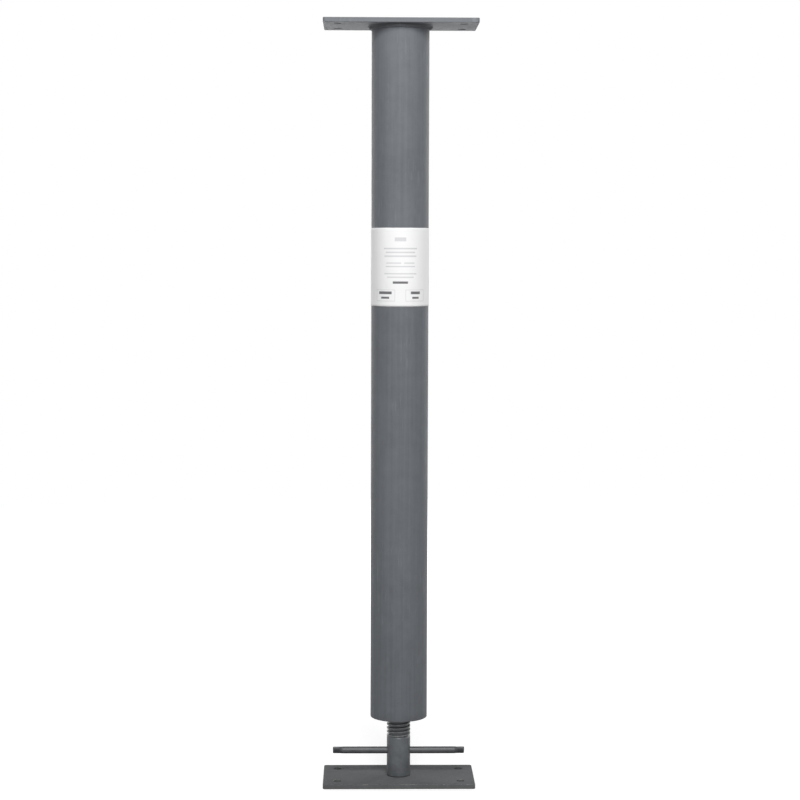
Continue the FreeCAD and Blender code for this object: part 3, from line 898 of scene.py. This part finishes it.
# Label: a white paper label glued round the front of the tube. Its print is only plain bars and
# two ruled fields.
LABEL_LOW, LABEL_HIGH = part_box("label")
LABEL_WIDTH, LABEL_HEIGHT = 0.1524, LABEL_HIGH.z - LABEL_LOW.z
LABEL_BODY = 0.0004
LABEL_COLUMNS, LABEL_ROWS = 120, 48
LABEL_RIPPLE = 0.00003
LABEL_WAVES = ((95, 3), (40, 6))
PAPER = (0.87, 0.87, 0.875)
PAPER_TONE, PAPER_ROUGH, PAPER_GLOSS = 0.945, 0.5, 0.25
FIBRE_CELLS, PAPER_CELLS = 900.0, 22.0
FIBRE_RELIEF = 0.00003
FAINT_PRINT = (0.52, 0.52, 0.54, 1.0)
DARK_PRINT = (0.16, 0.16, 0.17, 1.0)
# Across from the middle, up from the lower edge, width and height, in millimetres, as is all print
FAINT_BARS = [
    (0.0, 88.0, 15.0, 5.0), (0.0, 76.0, 46.0, 2.0), (0.0, 71.0, 40.0, 2.0), (0.0, 66.0, 44.0, 2.0),
    (-9.0, 57.0, 20.0, 1.6), (12.0, 57.0, 14.0, 1.6), (0.0, 52.5, 40.0, 1.6),
    (0.0, 43.0, 44.0, 1.6), (0.0, 38.5, 36.0, 1.6),
]
DARK_BARS = [
    (0.0, 31.5, 20.0, 3.0),
    (-21.0, 18.0, 19.0, 3.6), (-21.0, 11.5, 12.0, 2.6),
    (21.0, 18.0, 14.0, 3.6), (21.0, 11.5, 10.0, 2.6),
]
FIELDS = [(-21.0, 14.5, 28.0, 15.0), (21.0, 14.5, 28.0, 15.0)]
FIELD_LINE = 0.35
FIELD_INK, FAINT_INK = 0.55, 0.6
INK_RIM = 0.12
MILLIMETRES = 1000


def label_sheet():
    """A rectangle bent round the tube: the angle is the way across divided by the tube's radius,
    and the radius stays that of the label's face, less a ripple of a few hundredths, the product
    of two waves, where the paper isn't quite flat."""
    across = np.linspace(-0.5, 0.5, LABEL_COLUMNS) * LABEL_WIDTH
    up = np.linspace(0.0, 1.0, LABEL_ROWS)[:, None]
    angle = across / TUBE_RADIUS
    first, second = (np.sin(sideways * across + upwards * up) for sideways, upwards in LABEL_WAVES)
    reach = -LABEL_LOW.y - LABEL_RIPPLE * (1 + first * second)
    height = LABEL_LOW.z + up * LABEL_HEIGHT
    return sheet(reach * np.sin(angle), -reach * np.cos(angle), height)


# A printed bar: inked where a point lies inside it both ways, with a soft rim
BAR_SOCKETS = ("Across", "Up", "Middle Across", "Middle Up", "Half Width", "Half Height")
printed_bar, given, made = new_group("printed_bar", BAR_SOCKETS, ("Ink",))
sides = []
for way, half in (("Across", "Half Width"), ("Up", "Half Height")):
    away = calculate(printed_bar, "SUBTRACT", given[way], given[f"Middle {way}"])
    away = calculate(printed_bar, "ABSOLUTE", away)
    sides.append(calculate(printed_bar, "SUBTRACT", given[half], away))
depth = calculate(printed_bar, "MINIMUM", *sides)
link(printed_bar, made, {"Ink": ramp(printed_bar, depth, -INK_RIM, INK_RIM)})


def printed_paper():
    """White paper with faint fibres, inked where a bar or a field's line lies. Across and up are
    the label's own coordinates in millimetres, from its UV map."""
    material, tree, shader, where = new_finish("label_paper")
    uv = add_node(tree, "UVMap", uv_map="label")[0]
    parts = add_node(tree, "SeparateXYZ", {0: uv})
    wide, high = LABEL_WIDTH * MILLIMETRES, LABEL_HEIGHT * MILLIMETRES
    across = weighed(tree, -wide / 2, (parts[0], wide))
    up = calculate(tree, "MULTIPLY", parts[1], high)

    def ink(rows, grow=0.0):
        """The most ink that any of the bars leaves, each grown by so much on every side."""
        total = 0.0
        for x, y, width, height in rows:
            bar = {"Across": across, "Up": up, "Middle Across": x, "Middle Up": y}
            bar |= {"Half Width": width / 2 + grow, "Half Height": height / 2 + grow}
            total = calculate(tree, "MAXIMUM", place(tree, printed_bar, bar)["Ink"], total)
        return total

    ruled = calculate(tree, "SUBTRACT", ink(FIELDS), ink(FIELDS, -FIELD_LINE))
    ruled = calculate(tree, "MULTIPLY", ruled, FIELD_INK)
    dark = calculate(tree, "MAXIMUM", ink(DARK_BARS), ruled)
    fibre = noise(tree, where, FIBRE_CELLS, 3.0)
    cloud = noise(tree, where, PAPER_CELLS, 2.0)
    paper = shade(tree, PAPER, weighed(tree, PAPER_TONE, (cloud, 0.06), (fibre, 0.05)))
    faint = calculate(tree, "MULTIPLY", ink(FAINT_BARS), FAINT_INK)
    colour = mix_colour(tree, dark, mix_colour(tree, faint, paper, FAINT_PRINT), DARK_PRINT)
    rough = weighed(tree, PAPER_ROUGH, (fibre, 0.15))
    dress(tree, shader, colour, rough, fibre, FIBRE_RELIEF, PAPER_GLOSS)
    return material


label = make_piece("paper_label", label_sheet())
points = points_of(label)
label_u = np.arctan2(points[:, 0], -points[:, 1]) * TUBE_RADIUS / LABEL_WIDTH + 0.5
label_v = (points[:, 2] - LABEL_LOW.z) / LABEL_HEIGHT
corners = np.empty(len(label.data.loops), np.int32)
label.data.loops.foreach_get("vertex_index", corners)
layer = label.data.uv_layers.new(name="label")
layer.data.foreach_set("uv", np.column_stack([label_u, label_v])[corners].astype(np.float32).ravel())
paper_body = label.modifiers.new("paper body", "SOLIDIFY")
paper_body.thickness = LABEL_BODY
paper_body.offset = -1.0
finish_piece(label, "label", "column", printed_paper())


# Floor: a plain pale studio floor. The camera and reflections see it nearly white, and white from a
# little way off, so that only the column's own soft shadow shows.
FLOOR_Z = -0.0002
FLOOR_RADII = (0.0, 0.5, 3.0)
FLOOR_COLUMNS = 96
FLOOR_COLOUR = (0.42, 0.42, 0.42, 1.0)
NEAR, FAR = 0.25, 0.95
NEAR_WHITE = 0.72
WHITE = (1.0, 1.0, 1.0, 1.0)


def seen_directly(tree):
    """One where the camera looks, straight, by a reflection or through glass, and else nothing."""
    path = add_node(tree, "LightPath")
    seen = calculate(tree, "MAXIMUM", path["Is Camera Ray"], path["Is Glossy Ray"])
    return calculate(tree, "MAXIMUM", seen, path["Is Transmission Ray"])


floor_rings = [(radius, FLOOR_Z) for radius in FLOOR_RADII]
floor = make_piece("floor", turned(floor_rings, FLOOR_COLUMNS))
floor_paint, tree, shader, where = new_finish("studio_floor")
tree.nodes.remove(shader)
away = add_node(tree, "VectorMath", {0: where}, operation="LENGTH")["Value"]
white = ramp(tree, away, NEAR, FAR, NEAR_WHITE, 1.0)
white = calculate(tree, "MULTIPLY", seen_directly(tree), white)
matt = add_node(tree, "BsdfDiffuse", {"Color": FLOOR_COLOUR})[0]
glow = add_node(tree, "Emission", {"Color": WHITE, "Strength": white})[0]
shown = add_node(tree, "AddShader", {0: matt, 1: glow})[0]
link(tree, tree.nodes["Material Output"].inputs, {"Surface": shown})
floor.data.materials.append(floor_paint)


# Light: an even pale room, white where the camera or a reflection looks at it, a wide soft lamp above
# the camera, and three weaker ones behind the column, which light its sides and its back.
ROOM_LIGHT = 0.15
# Name, place, the point that it faces, side and power in watts
LAMPS = [
    ("front_softbox", (0.05, -1.7, 1.70), (0.0, 0.0, 0.90), 0.9, 41.0),
    ("right_softbox", (1.70, 1.70, 0.9), (0.0, 0.0, 0.5), 1.4, 21.0),
    ("left_softbox", (-1.60, 2.03, 0.9), (0.0, 0.0, 0.5), 1.4, 20.0),
    ("back_softbox", (-0.2, 2.6, 1.3), (0.0, 0.0, 0.6), 1.4, 19.0),
]

room = bpy.data.worlds.new("studio")
scene.world = room
room.use_nodes = True
tree = room.node_tree
tree.nodes.clear()
strength = weighed(tree, ROOM_LIGHT, (seen_directly(tree), 1.0 - ROOM_LIGHT))
air = add_node(tree, "Background", {"Color": WHITE, "Strength": strength})[0]
add_node(tree, "OutputWorld", {"Surface": air})


def stand(name, thing, place_at, ahead, roll=0.0):
    """Stands a lamp or a camera in the studio, looking ahead and rolled about that line."""
    holder = bpy.data.objects.new(name, thing)
    holder.location = place_at
    holder.rotation_mode = "QUATERNION"
    holder.rotation_quaternion = ahead.to_track_quat("-Z", "Y") @ Quaternion((0.0, 0.0, 1.0), roll)
    scene.collection.objects.link(holder)
    return holder


for name, place_at, aim, size, power in LAMPS:
    lamp = bpy.data.lights.new(name, "AREA")
    lamp.shape = "SQUARE"
    lamp.size = size
    lamp.energy = power
    stand(name, lamp, place_at, Vector(aim) - Vector(place_at))

scene.view_settings.view_transform = "Standard"


# Camera: a long lens at about seven tenths of the column's height, looking a few degrees down and one
# to the right, as the photograph was taken. Angles are in radians.
CAMERA_PLACE = (-0.0481, -2.6400, 0.7201)
CAMERA_SENSOR, CAMERA_LENS = 36.0, 89.13
CAMERA_YAW = 0.01846
CAMERA_PITCH = 0.07717
CAMERA_ROLL = 0.00300

eye = bpy.data.cameras.new("camera")
eye.sensor_width = CAMERA_SENSOR
eye.lens = CAMERA_LENS
ahead = Vector((
    math.sin(CAMERA_YAW) * math.cos(CAMERA_PITCH),
    math.cos(CAMERA_YAW) * math.cos(CAMERA_PITCH),
    -math.sin(CAMERA_PITCH),
))
scene.camera = stand("camera", eye, CAMERA_PLACE, ahead, CAMERA_ROLL)
